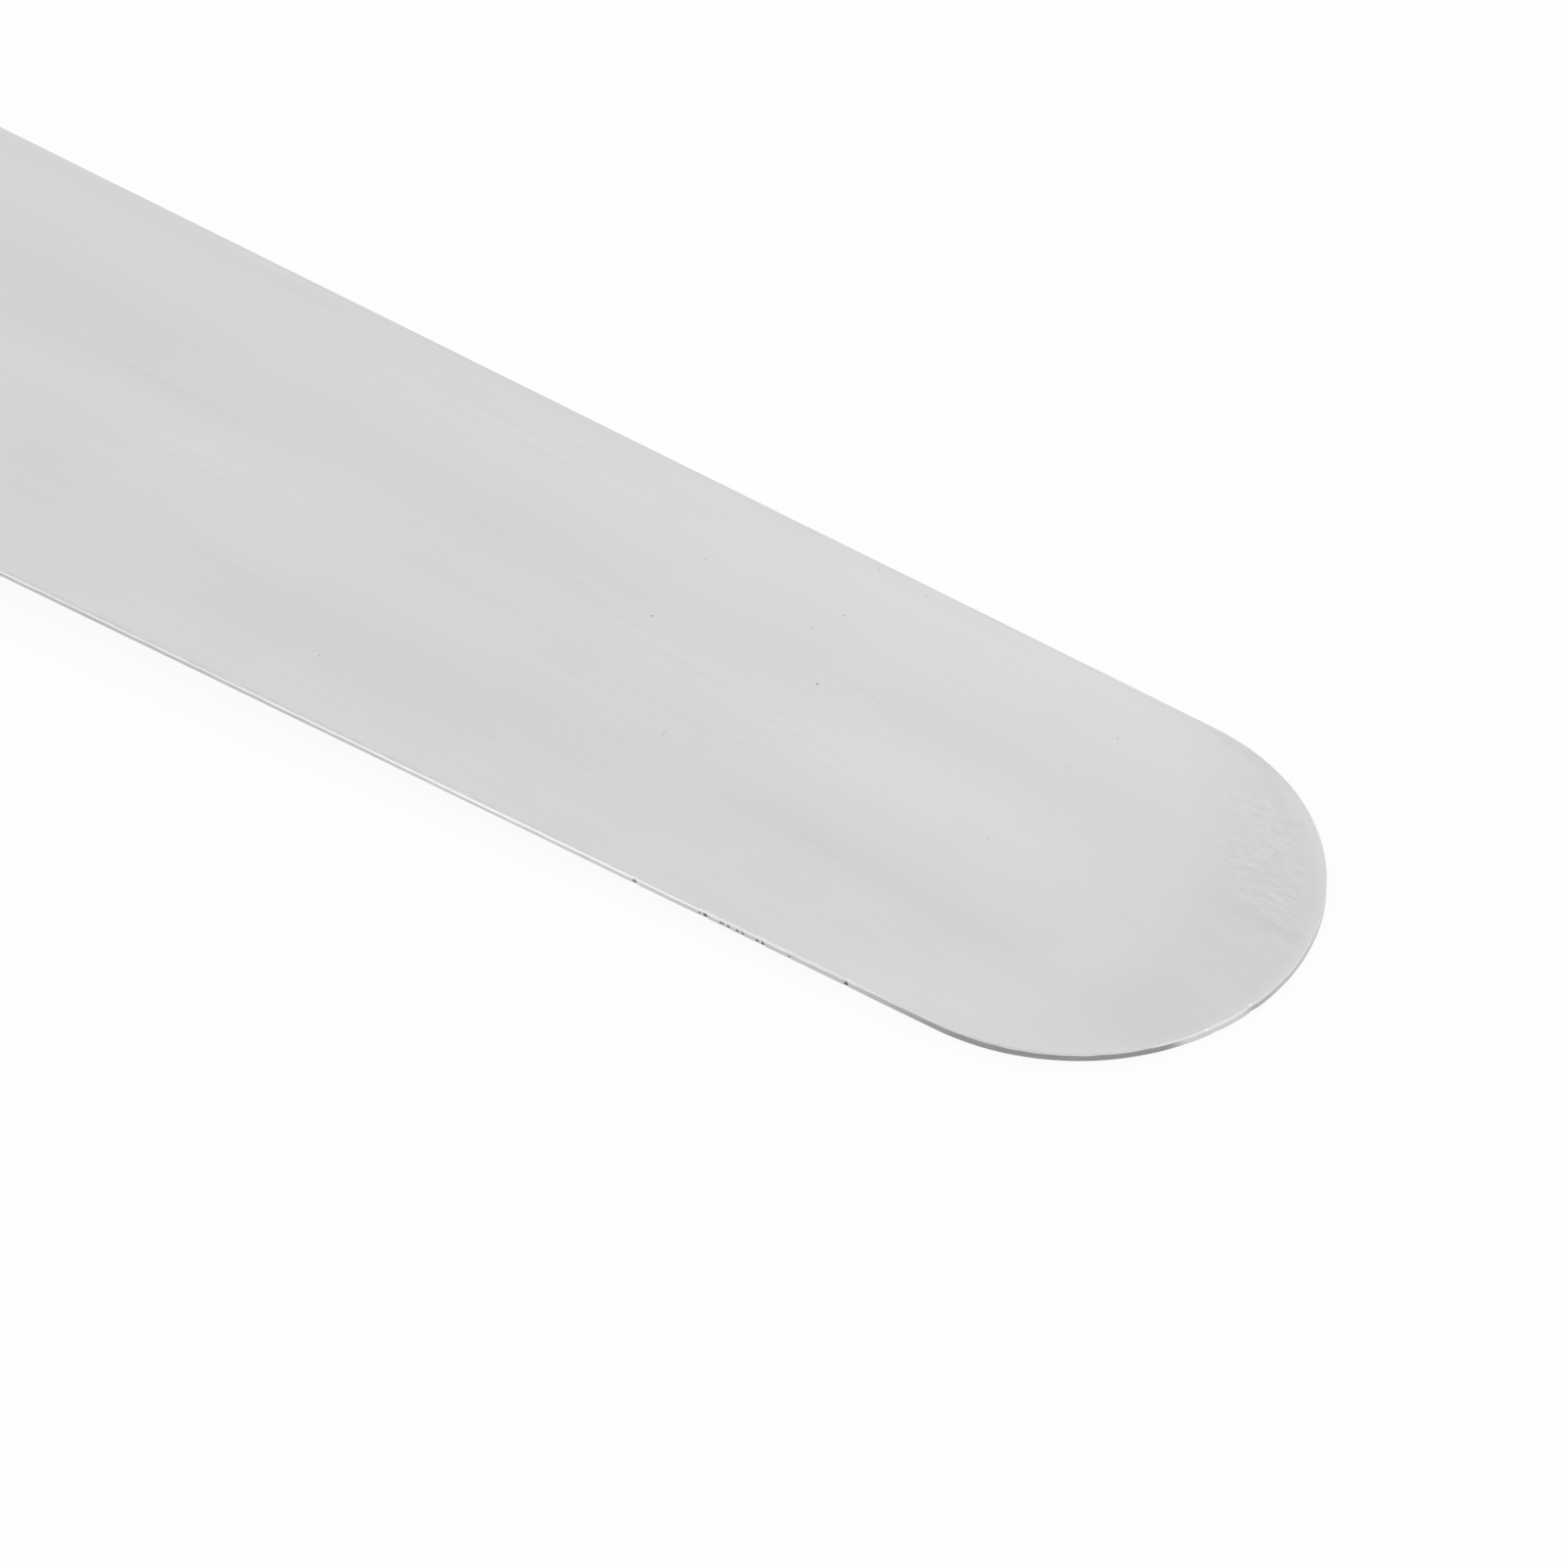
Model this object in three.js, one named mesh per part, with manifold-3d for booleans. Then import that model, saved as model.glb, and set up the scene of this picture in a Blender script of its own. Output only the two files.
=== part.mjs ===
// An icing spatula. One sheet of spring steel makes the blade and its full tang, two hardwood scales
// make the handle, and three two-piece compression rivets hold the scales to the tang.
// Millimetres. +X runs to the blade's nose, +Y across the blade, +Z up, square to the blade's faces.
// The origin is under the middle of the tool, level with the handle's underside.
import * as THREE from "three";
import { mergeVertices } from "three/addons/utils/BufferGeometryUtils.js";
import Module from "manifold-3d";

const wasm = await Module();
wasm.setup();
const { clamp, lerp, smoothstep } = THREE.MathUtils;

// Blade and tang.
const BLADE_LENGTH = 254; // from the handle's front to the end of the nose
const NOSE_WIDTH = 38; // diameter of the half-round nose
const HEEL_WIDTH = 42; // the widest place, where the shoulders end
const SHEET_THICKNESS = 0.8;
const NOSE_THICKNESS = 0.65; // both faces of the nose are ground down to this at its end
const NOSE_GRIND_LENGTH = 12;
const EDGE_CHAMFER = 0.12; // broken edge all round the sheet
const NECK_LENGTH = 9; // bare parallel neck in front of the handle
const SHOULDER_LENGTH = 27; // S-shaped widening from the neck to the heel

// Handle. A place is a distance back from the handle's front.
const HANDLE_LENGTH = 120;
const FRONT_WIDTH = 21; // of the handle's front and of the neck
const WAIST_WIDTH = 19.6;
const BELLY_WIDTH = 28;
const BUTT_WIDTH = 24.5;
const FRONT_THICKNESS = 14.5;
const BELLY_THICKNESS = 18.6;
const BUTT_THICKNESS = 15.4;
const WAIST_PLACE = 27;
const BELLY_FROM_BUTT = 40;
const FRONT_ROUND_LENGTH = 10; // stretch over which each scale falls towards the blade
const FRONT_LIP = 1.5; // height of a scale's front edge
const BUTT_ROUND_LENGTH = 13; // the butt's end, seen from above
const BUTT_FLAT = 3; // width left at the very end
const BUTT_EDGE_LENGTH = 6; // the butt's rim, seen from the side
const BUTT_RIM = 4.2; // height of a scale's rear edge
const SECTION_POWER = 2.6; // 2 is an ellipse, more is squarer
const GLUE_LINE = 0.05; // between the tang and each scale

// Rivets: a stud from above and a sleeve from below, with heads sunk and sanded flush with the wood.
const RIVET_NAMES = ["front", "middle", "rear"];
const RIVET_FRONT_PLACE = 20;
const RIVET_REAR_FROM_BUTT = 33;
const RIVET_HEAD_DIAMETER = 8;
const RIVET_HEAD_DEPTH = 2;
const SLEEVE_DIAMETER = 5;
const PIN_DIAMETER = 3.2;
const PIN_CHAMFER = 0.4;
const PIN_CLEARANCE = 0.05; // all round, in the sleeve
const HOLE_CLEARANCE = 0.1; // all round, in the wood and the tang
const SEAT_CLEARANCE = 0.05; // under a head
const END_ROOM = 0.6; // free length past the end of a pin or a sleeve

// Hang hole through scales and tang.
const HANG_HOLE_DIAMETER = 7;
const HANG_HOLE_FROM_BUTT = 13;

// Facets.
const ROUND_SEGMENTS = 32;
const SECTION_STEPS = 20;
const GRIP_STEPS = 14;
const PALM_STEPS = 6;
const END_STEPS = 8;
const SHOULDER_STEPS = 12;
const NOSE_STEPS = 28;
const CUT_MARGIN = 1; // how far a cutter runs past the surface that it leaves

// The sheet's mid-plane is z = 0 and the handle's front is x = 0 until the tool is set on its origin.
const SCALE_BASE = SHEET_THICKNESS / 2 + GLUE_LINE;
const BELLY_PLACE = HANDLE_LENGTH - BELLY_FROM_BUTT;
const WIDTH_KEYS = [
  [0, FRONT_WIDTH],
  [WAIST_PLACE, WAIST_WIDTH],
  [BELLY_PLACE, BELLY_WIDTH],
  [HANDLE_LENGTH, BUTT_WIDTH],
];
const THICKNESS_KEYS = [
  [0, FRONT_THICKNESS],
  [BELLY_PLACE, BELLY_THICKNESS],
  [HANDLE_LENGTH, BUTT_THICKNESS],
];
const HANG_HOLE_PLACE = HANDLE_LENGTH - HANG_HOLE_FROM_BUTT;
const RIVETS = RIVET_NAMES.map((name, i) => {
  const share = i / (RIVET_NAMES.length - 1);
  return { name, place: lerp(RIVET_FRONT_PLACE, HANDLE_LENGTH - RIVET_REAR_FROM_BUTT, share) };
});

// The nose is a circle that the straight edges touch, and its last facet lies square across the tip.
const NOSE_RADIUS = NOSE_WIDTH / 2;
const HEEL_X = NECK_LENGTH + SHOULDER_LENGTH;
const NOSE_FACET = Math.PI / 2 / (NOSE_STEPS + 0.5);
const NOSE_X = BLADE_LENGTH - NOSE_RADIUS * Math.cos(NOSE_FACET / 2);
const EDGE_TAPER =
  Math.acos(NOSE_RADIUS / Math.hypot(NOSE_X - HEEL_X, HEEL_WIDTH / 2)) -
  Math.atan2(NOSE_X - HEEL_X, HEEL_WIDTH / 2);
const TANGENT_X = NOSE_X + NOSE_RADIUS * Math.sin(EDGE_TAPER);

// From 0 to 1 in even steps, both ends included.
function steps(count) {
  return Array.from({ length: count + 1 }, (_, i) => i / count);
}

// A size that eases from each [place, size] key to the next and runs level through the keys.
function easedAlong(keys, place) {
  const last = keys.length - 1;
  const next = keys.findIndex(([at], i) => i > 0 && (place <= at || i === last));
  const [from, to] = [keys[next - 1], keys[next]];
  return lerp(from[1], to[1], smoothstep(place, from[0], to[0]));
}

// The share of its size that a rounded end keeps at a distance from the end, as a quarter of an ellipse.
function roundedEnd(distance, length, leastShare) {
  const into = clamp(1 - distance / length, 0, 1);
  return lerp(leastShare, 1, Math.sqrt(1 - into ** 2));
}

function handleHalfWidth(place) {
  const share = roundedEnd(HANDLE_LENGTH - place, BUTT_ROUND_LENGTH, BUTT_FLAT / BUTT_WIDTH);
  return (share * easedAlong(WIDTH_KEYS, place)) / 2;
}

function scaleHeight(place) {
  const full = easedAlong(THICKNESS_KEYS, place) / 2 - SCALE_BASE;
  const lipShare = FRONT_LIP / (FRONT_THICKNESS / 2 - SCALE_BASE);
  const rimShare = BUTT_RIM / (BUTT_THICKNESS / 2 - SCALE_BASE);
  const front = roundedEnd(place, FRONT_ROUND_LENGTH, lipShare);
  const butt = roundedEnd(HANDLE_LENGTH - place, BUTT_EDGE_LENGTH, rimShare);
  return full * front * butt;
}

// Height of the face that a rivet's head sits on.
function headSeat(place) {
  return SCALE_BASE + scaleHeight(place) - RIVET_HEAD_DEPTH;
}

function bladeHalfWidth(x) {
  if (x <= 0) return handleHalfWidth(-x);
  if (x <= HEEL_X) return lerp(FRONT_WIDTH, HEEL_WIDTH, smoothstep(x, NECK_LENGTH, HEEL_X)) / 2;
  if (x <= TANGENT_X) return HEEL_WIDTH / 2 - (x - HEEL_X) * Math.tan(EDGE_TAPER);
  return Math.sqrt(NOSE_RADIUS ** 2 - (x - NOSE_X) ** 2);
}

function bladeThickness(x) {
  const ground = clamp((x - BLADE_LENGTH + NOSE_GRIND_LENGTH) / NOSE_GRIND_LENGTH, 0, 1);
  return lerp(SHEET_THICKNESS, NOSE_THICKNESS, ground);
}

// Places for the handle's sections: one at the belly, and closer together towards the rounded ends.
function handlePlaces() {
  const buttStart = HANDLE_LENGTH - BUTT_ROUND_LENGTH;
  const quarter = steps(END_STEPS).map((share) => (share * Math.PI) / 2);
  const front = quarter.map((angle) => FRONT_ROUND_LENGTH * (1 - Math.cos(angle)));
  const grip = steps(GRIP_STEPS).map((share) => lerp(FRONT_ROUND_LENGTH, BELLY_PLACE, share));
  const palm = steps(PALM_STEPS).map((share) => lerp(BELLY_PLACE, buttStart, share));
  const butt = quarter.map((angle) => buttStart + BUTT_ROUND_LENGTH * Math.sin(angle));
  return [...new Set([...front, ...grip, ...palm, ...butt])];
}

function bladeSections() {
  const tang = handlePlaces().map((place) => (place ? -place : 0));
  const shoulder = steps(SHOULDER_STEPS).map((share) => lerp(NECK_LENGTH, HEEL_X, share));
  const nose = steps(NOSE_STEPS).map((share) => {
    const angle = lerp(EDGE_TAPER, (Math.PI - NOSE_FACET) / 2, share);
    return NOSE_X + NOSE_RADIUS * Math.sin(angle);
  });
  const places = new Set([...tang, ...shoulder, BLADE_LENGTH - NOSE_GRIND_LENGTH, ...nose]);
  return [...places].sort((a, b) => a - b);
}

// A section of the sheet with its four edges broken.
function sheetRing(x) {
  const [side, face] = [bladeHalfWidth(x), bladeThickness(x) / 2];
  const [sideIn, faceIn] = [side - EDGE_CHAMFER, face - EDGE_CHAMFER];
  const upper = [[side, faceIn], [sideIn, face], [-sideIn, face], [-side, faceIn]];
  const lower = upper.map(([y, z]) => [-y, -z]);
  return [...upper, ...lower].map(([y, z]) => new THREE.Vector3(x, y, z));
}

// A section of the upper scale: flat below, crowned above.
function scaleRing(place) {
  const [halfWidth, height] = [handleHalfWidth(place), scaleHeight(place)];
  return steps(SECTION_STEPS).map((share) => {
    const [across, up] = [Math.cos(share * Math.PI), Math.sin(share * Math.PI)];
    const y = halfWidth * Math.sign(across) * Math.abs(across) ** (2 / SECTION_POWER);
    const z = SCALE_BASE + height * Math.abs(up) ** (2 / SECTION_POWER);
    return new THREE.Vector3(-place, y, share < 1 ? z : SCALE_BASE);
  });
}

// A closed surface through rings that follow each other along +X, each anticlockwise seen from +X.
function loft(rings) {
  const size = rings[0].length;
  const last = rings.length - 1;
  const at = (ring, point) => ring * size + (point % size);
  const faces = [];
  for (let ring = 0; ring < last; ring++) {
    for (let point = 0; point < size; point++) {
      const [a, b] = [at(ring, point), at(ring, point + 1)];
      const [c, d] = [at(ring + 1, point), at(ring + 1, point + 1)];
      faces.push(a, b, c, b, d, c);
    }
  }
  for (let point = 1; point < size - 1; point++) {
    faces.push(at(0, 0), at(0, point + 1), at(0, point));
    faces.push(at(last, 0), at(last, point), at(last, point + 1));
  }
  return new THREE.BufferGeometry().setFromPoints(rings.flat()).setIndex(faces);
}

function solidFrom(geometry) {
  const bare = new THREE.BufferGeometry();
  bare.setAttribute("position", geometry.getAttribute("position"));
  bare.setIndex(geometry.index);
  const merged = mergeVertices(bare);
  return new wasm.Manifold(
    new wasm.Mesh({
      numProp: 3,
      vertProperties: merged.getAttribute("position").array,
      triVerts: Uint32Array.from(merged.index.array),
    }),
  );
}

function geometryFrom(solid) {
  const mesh = solid.getMesh();
  const geometry = new THREE.BufferGeometry();
  geometry.setAttribute("position", new THREE.BufferAttribute(mesh.vertProperties, 3));
  geometry.setIndex(new THREE.BufferAttribute(mesh.triVerts, 1));
  geometry.computeVertexNormals();
  return geometry;
}

// An upright round solid at a place on the handle, for a head or for a hole.
function upright(diameter, place, bottom, top) {
  const radius = diameter / 2;
  const round = new THREE.CylinderGeometry(radius, radius, top - bottom, ROUND_SEGMENTS);
  return solidFrom(round.rotateX(Math.PI / 2).translate(-place, 0, (top + bottom) / 2));
}

// A solid turned about an upright axis at a place on the handle, from [radius, height] points.
function turned(profile, place) {
  const points = profile.map(([radius, height]) => new THREE.Vector2(radius, height));
  const round = new THREE.LatheGeometry(points, ROUND_SEGMENTS);
  return solidFrom(round.rotateX(Math.PI / 2).translate(-place, 0, 0));
}

// A hole that runs past both faces of whatever it goes through.
function through(diameter, place) {
  const reach = BELLY_THICKNESS / 2 + CUT_MARGIN;
  return upright(diameter, place, -reach, reach);
}

function bladeWithTang() {
  const holes = RIVETS.map(({ place }) => through(SLEEVE_DIAMETER + 2 * HOLE_CLEARANCE, place));
  holes.push(through(HANG_HOLE_DIAMETER, HANG_HOLE_PLACE));
  const sheet = solidFrom(loft(bladeSections().map(sheetRing)));
  return holes.reduce((cut, hole) => cut.subtract(hole), sheet);
}

function scaleBlank() {
  return solidFrom(loft(handlePlaces().toReversed().map(scaleRing)));
}

function drilledScale(blank) {
  const top = BELLY_THICKNESS / 2 + CUT_MARGIN;
  const holes = RIVETS.flatMap(({ place }) => [
    through(SLEEVE_DIAMETER + 2 * HOLE_CLEARANCE, place),
    upright(RIVET_HEAD_DIAMETER + 2 * HOLE_CLEARANCE, place, headSeat(place) - SEAT_CLEARANCE, top),
  ]);
  holes.push(through(HANG_HOLE_DIAMETER, HANG_HOLE_PLACE));
  return holes.reduce((cut, hole) => cut.subtract(hole), blank);
}

// A rivet's head is sanded to the crown of the scale that it sits in.
function flushHead(place, blank) {
  const top = BELLY_THICKNESS / 2 + CUT_MARGIN;
  return upright(RIVET_HEAD_DIAMETER, place, headSeat(place), top).intersect(blank);
}

function rivetStud(place, blank) {
  const [radius, seat] = [PIN_DIAMETER / 2, headSeat(place)];
  const [end, root] = [END_ROOM - seat, seat + RIVET_HEAD_DEPTH / 2];
  const tip = [[0, end], [radius - PIN_CHAMFER, end], [radius, end + PIN_CHAMFER]];
  return turned([...tip, [radius, root], [0, root]], place).add(flushHead(place, blank));
}

// The sleeve's blind bore takes the stud's pin.
function rivetSleeve(place, blank) {
  const [radius, bore] = [SLEEVE_DIAMETER / 2, PIN_DIAMETER / 2 + PIN_CLEARANCE];
  const seat = headSeat(place);
  const [end, root] = [END_ROOM - seat, seat + RIVET_HEAD_DEPTH / 2];
  const profile = [[0, seat], [bore, seat], [bore, end], [radius, end], [radius, root], [0, root]];
  return turned(profile, place).add(flushHead(place, blank));
}

const steel = new THREE.MeshStandardMaterial({ color: 0xd6d6d6, roughness: 0.36, metalness: 1 });
const wood = new THREE.MeshStandardMaterial({ color: 0x9c6a3c, roughness: 0.55, metalness: 0 });
const brass = new THREE.MeshStandardMaterial({ color: 0xc9a45c, roughness: 0.32, metalness: 1 });

function piece(name, geometry, material) {
  const mesh = new THREE.Mesh(geometry, material);
  mesh.name = name;
  return mesh;
}

// The underside's pieces are made as upper ones and turned over about the tool's own axis.
const upperSide = new THREE.Group();
const lowerSide = new THREE.Group();
lowerSide.rotation.x = Math.PI;

const blank = scaleBlank();
const scaleGeometry = geometryFrom(drilledScale(blank));
upperSide.add(piece("upper_scale", scaleGeometry, wood));
lowerSide.add(piece("lower_scale", scaleGeometry, wood));
for (const { name, place } of RIVETS) {
  upperSide.add(piece(`rivet_stud_${name}`, geometryFrom(rivetStud(place, blank)), brass));
  lowerSide.add(piece(`rivet_sleeve_${name}`, geometryFrom(rivetSleeve(place, blank)), brass));
}

const tool = new THREE.Group();
tool.add(piece("blade", geometryFrom(bladeWithTang()), steel), upperSide, lowerSide);
const box = new THREE.Box3().setFromObject(tool);
tool.position.set(-(box.min.x + box.max.x) / 2, 0, -box.min.z);

const spatula = new THREE.Group();
spatula.add(tool);

export default spatula;
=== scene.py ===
"""Looks of an icing spatula: a satin steel blade and full tang, hardwood scales and brass rivets.

Metres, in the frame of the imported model: +X to the blade's nose, +Y across the blade, +Z up.
A place is a distance back from the handle's front, and a reach is a distance forward from it.
Back, by itself, is a distance back from the end of the nose. The near edge is the one at -Y.
"""

import math
from typing import NamedTuple

import bmesh
import bpy
import numpy as np
from mathutils import Matrix, Vector

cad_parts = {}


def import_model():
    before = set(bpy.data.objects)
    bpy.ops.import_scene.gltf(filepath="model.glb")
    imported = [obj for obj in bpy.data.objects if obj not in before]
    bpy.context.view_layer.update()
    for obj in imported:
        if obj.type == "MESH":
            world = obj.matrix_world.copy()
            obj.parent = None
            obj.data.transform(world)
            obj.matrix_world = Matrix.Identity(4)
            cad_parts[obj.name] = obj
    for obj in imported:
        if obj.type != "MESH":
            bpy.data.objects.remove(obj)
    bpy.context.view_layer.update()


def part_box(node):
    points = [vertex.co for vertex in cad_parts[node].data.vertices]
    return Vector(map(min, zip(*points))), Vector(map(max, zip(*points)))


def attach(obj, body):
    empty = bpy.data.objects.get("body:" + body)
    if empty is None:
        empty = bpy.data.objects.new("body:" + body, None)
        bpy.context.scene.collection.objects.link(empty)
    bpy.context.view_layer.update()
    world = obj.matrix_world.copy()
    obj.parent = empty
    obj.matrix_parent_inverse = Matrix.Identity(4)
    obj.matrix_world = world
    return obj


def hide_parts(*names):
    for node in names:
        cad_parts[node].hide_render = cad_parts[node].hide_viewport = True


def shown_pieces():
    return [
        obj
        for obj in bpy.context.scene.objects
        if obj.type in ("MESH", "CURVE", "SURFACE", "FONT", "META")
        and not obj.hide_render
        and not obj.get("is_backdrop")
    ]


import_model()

MM = 0.001


def mm(*sizes):
    """Several sizes in millimetres, as metres."""
    return tuple(size * MM for size in sizes)


# Sizes that the frame gives.
blade_low, blade_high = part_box("blade")
scale_low, scale_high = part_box("upper_scale")
NOSE_END = blade_high.x
HANDLE_FRONT = scale_high.x
HANDLE_LENGTH = scale_high.x - scale_low.x
BLADE_LENGTH = NOSE_END - HANDLE_FRONT
HEEL_WIDTH = blade_high.y - blade_low.y
SHEET = blade_high.z - blade_low.z
MIDDLE_Z = (blade_high.z + blade_low.z) / 2
SCALE_BASE = scale_low.z - MIDDLE_Z
BELLY_WIDTH = scale_high.y - scale_low.y
BELLY_HALF = scale_high.z - MIDDLE_Z

# Blade, as the solids have it.
NOSE_RADIUS = 19 * MM
NECK_LENGTH = 9 * MM
SHOULDER_LENGTH = 27 * MM
HEEL_REACH = NECK_LENGTH + SHOULDER_LENGTH
HEEL_HALF = HEEL_WIDTH / 2
NOSE_REACH = BLADE_LENGTH - NOSE_RADIUS
TAPER_LENGTH = NOSE_REACH - HEEL_REACH
HEEL_ANGLE = math.atan2(TAPER_LENGTH, HEEL_HALF)
EDGE_TAPER = math.acos(NOSE_RADIUS / math.hypot(TAPER_LENGTH, HEEL_HALF)) - HEEL_ANGLE
TANGENT_REACH = NOSE_REACH + NOSE_RADIUS * math.sin(EDGE_TAPER)
NOSE_CENTRE = (HANDLE_FRONT + NOSE_REACH, 0, 0)

# Handle, as the solids have it.
FRONT_WIDTH = 21 * MM
WAIST_WIDTH = 19.6 * MM
BUTT_WIDTH = 24.5 * MM
FRONT_HALF = 7.25 * MM
BUTT_HALF = 7.7 * MM
WAIST_PLACE = 27 * MM
BELLY_PLACE = HANDLE_LENGTH - 40 * MM
FRONT_ROUND_LENGTH = 10 * MM
FRONT_LIP = 1.5 * MM
BUTT_ROUND_LENGTH = 13 * MM
BUTT_FLAT = 3 * MM
BUTT_EDGE_LENGTH = 6 * MM
BUTT_RIM = 4.2 * MM
SECTION_POWER = 2.6
WIDTH_KEYS = (
    (0, FRONT_WIDTH),
    (WAIST_PLACE, WAIST_WIDTH),
    (BELLY_PLACE, BELLY_WIDTH),
    (HANDLE_LENGTH, BUTT_WIDTH),
)
HALF_KEYS = ((0, FRONT_HALF), (BELLY_PLACE, BELLY_HALF), (HANDLE_LENGTH, BUTT_HALF))

# Rivets and hang hole, as the solids have them.
RIVET_NAMES = ("front", "middle", "rear")
HEAD_RADIUS = 4 * MM
HEAD_DEPTH = 2 * MM
SLEEVE_RADIUS = 2.5 * MM
PIN_RADIUS = 1.6 * MM
PIN_CHAMFER = 0.4 * MM
PIN_CLEARANCE = 0.05 * MM
HOLE_CLEARANCE = 0.1 * MM
SEAT_CLEARANCE = 0.05 * MM
END_ROOM = 0.6 * MM
HANG_HOLE_RADIUS = 3.5 * MM
HANG_HOLE_PLACE = HANDLE_LENGTH - 13 * MM

# Finer shape of the sheet, which only the looks have.
UPPER_ROLL = 0.16 * MM  # how far in from the rim the upper face starts to roll over
UPPER_ROUND = 0.16 * MM  # how far down the rim that roll ends
LOWER_ROLL = 0.15 * MM
LOWER_ROUND = 0.15 * MM
NOSE_ROLL_SHARE = 0.45  # what grinding the nose left of the roll there
NOSE_ROLL_EASE = 10 * MM
FAR_ROLL_SHARE = 0.3  # the far edge is crisper
ROLL_MARGIN = 0.05 * MM  # flat strip beside the roll, which keeps the face's shading flat
NOSE_GRIND_RADIUS = 22.5 * MM  # the ground nose starts on this arc
NOSE_GRIND_BACK = 32 * MM  # the arc's centre
NOSE_GRIND_DEPTH = 0.035 * MM  # taken off each face at the end of the nose
EDGE_WAVE_DEPTH = 0.012 * MM  # on the mean
EDGE_WAVE_LENGTHS = mm(17, 9, 5, 2.3)
EDGE_WAVE_SEED = 4
NICK_DEPTH_SHARE = 0.25  # of its radius
NICKS = (  # on the near edge: back, and radius
    mm(45.9, 0.26),
    mm(40.0, 0.16),
    mm(39.5, 0.28),
    mm(38.1, 0.17),
    mm(37.9, 0.18),
    mm(37.4, 0.20),
    mm(36.6, 0.20),
    mm(36.1, 0.18),
    mm(34.8, 0.20),
    mm(34.3, 0.20),
    mm(31.9, 0.14),
    mm(26.8, 0.26),
)
NOSE_NICKS = (mm(1.4, 0.30), mm(0.4, 0.35))  # the same, on the rim of the nose

# Finer shape of the handle, which only the looks have.
SEAM_ROUND = 0.22 * MM  # eased edge of a scale along the tang
FRONT_CORNER = 1.3 * MM  # eased corners of a scale's front, seen from above
FRONT_CORNER_SHARE = 0.94
HOLE_LIP = 1.1 * MM  # rounded mouth of the hang hole
HOLE_LIP_TURN = 80  # degrees of that round, which just meet the crown
HEAD_RIM = 0.12 * MM  # eased rim of a rivet's head
HEAD_PROUD = 0.02 * MM

# How finely the meshes are divided, and how they are cut and shaded.
COARSE_STEP = 2 * MM  # along the tang and the heel
COARSE_HEEL = 60 * MM  # how far ahead of the shoulders that goes
FINE_STEP = 0.4 * MM  # along the edges further ahead
SCALE_STEP = 1 * MM
FACE_COLUMNS = 16
ROLL_POINTS = 8
SHOULDER_POINTS = 37
NOSE_POINTS = 91
NICK_POINTS = 9
NICK_SPAN = 2  # radii to each side
TANG_BUTT_POINTS = 17
SCALE_END_POINTS = 25
CROWN_POINTS = 65
SEAM_POINTS = 5
LIP_POINTS = 9
TURNED_SIDES = 72
HEAD_RING_SHARES = (0.04, 0.25, 0.5, 0.75, 0.9)  # of the head's radius
HEAD_RIM_POINTS = 6
SAME_STATION = 0.001 * MM  # stations closer than this are one
SLIVER = 0.002 * MM  # points closer than this are joined after a cut
CUT_MARGIN = 1 * MM  # from the highest wood up to a cutter's top
BLADE_SHARP = 40  # degrees from which an edge is shaded sharp
HANDLE_SHARP = 35

# The photograph's camera. The picture is square, and the nose is a circle that was found in it.
PICTURE_SIDE = 1601
NOSE_PIXEL = (1097.0, 891.6)
PIXELS_PER_MM = 13.588
CAMERA_AZIMUTH = math.radians(33.653)
CAMERA_ELEVATION = math.radians(44.968)
CAMERA_ROLL = math.radians(-0.953)
CAMERA_DISTANCE = 1569.1 * MM
CAMERA_NEAREST = 0.1
CAMERA_FARTHEST = 30.0
SENSOR = 36.0


def mix(low, high, share):
    return low + (high - low) * share


def eased(value, start, end):
    """From 0 at start to 1 at end, level at both."""
    share = np.clip((value - start) / (end - start), 0, 1)
    return share * share * (3 - 2 * share)


def eased_along(keys, place):
    """A size that eases from each (place, size) key to the next."""
    size = keys[0][1] + np.zeros_like(place)
    for (start, before), (end, after) in zip(keys, keys[1:]):
        size = size + (after - before) * eased(place, start, end)
    return size


def rounded_end(distance, length, least_share):
    """The share of its size that a rounded end keeps at a distance from the end."""
    into = np.clip(1 - distance / length, 0, 1)
    return mix(least_share, 1, np.sqrt(1 - into**2))


def quarter_turn(points):
    return np.linspace(0, math.pi / 2, points)


def merged(*stretches):
    """Stations from several stretches, in order and without repeats."""
    stations = np.sort(np.concatenate(stretches))
    return stations[np.concatenate(([True], np.diff(stations) > SAME_STATION))]


def handle_half_width(place):
    share = rounded_end(HANDLE_LENGTH - place, BUTT_ROUND_LENGTH, BUTT_FLAT / BUTT_WIDTH)
    return share * eased_along(WIDTH_KEYS, place) / 2


def scale_height(place):
    """Height of a scale's crown above its flat base."""
    full = eased_along(HALF_KEYS, place) - SCALE_BASE
    front = rounded_end(place, FRONT_ROUND_LENGTH, FRONT_LIP / (FRONT_HALF - SCALE_BASE))
    butt = rounded_end(HANDLE_LENGTH - place, BUTT_EDGE_LENGTH, BUTT_RIM / (BUTT_HALF - SCALE_BASE))
    return full * front * butt


def crown(place, across):
    """Height of a scale's surface above the sheet's middle plane."""
    share = np.clip(np.abs(across) / handle_half_width(place), 0, 1)
    return SCALE_BASE + scale_height(place) * (1 - share**SECTION_POWER) ** (1 / SECTION_POWER)


def below_crown(depth):
    """A height for turned(), this far below the crown all round."""
    return lambda place, across: crown(place, across) - depth


def blade_half_width(reach):
    neck = mix(FRONT_WIDTH, HEEL_WIDTH, eased(reach, NECK_LENGTH, HEEL_REACH)) / 2
    straight = HEEL_HALF - (reach - HEEL_REACH) * math.tan(EDGE_TAPER)
    nose = np.sqrt(np.maximum(NOSE_RADIUS**2 - (reach - NOSE_REACH) ** 2, 0))
    stretches = [reach <= 0, reach <= HEEL_REACH, reach <= TANGENT_REACH]
    return np.select(stretches, [handle_half_width(-reach), neck, straight], nose)


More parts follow.
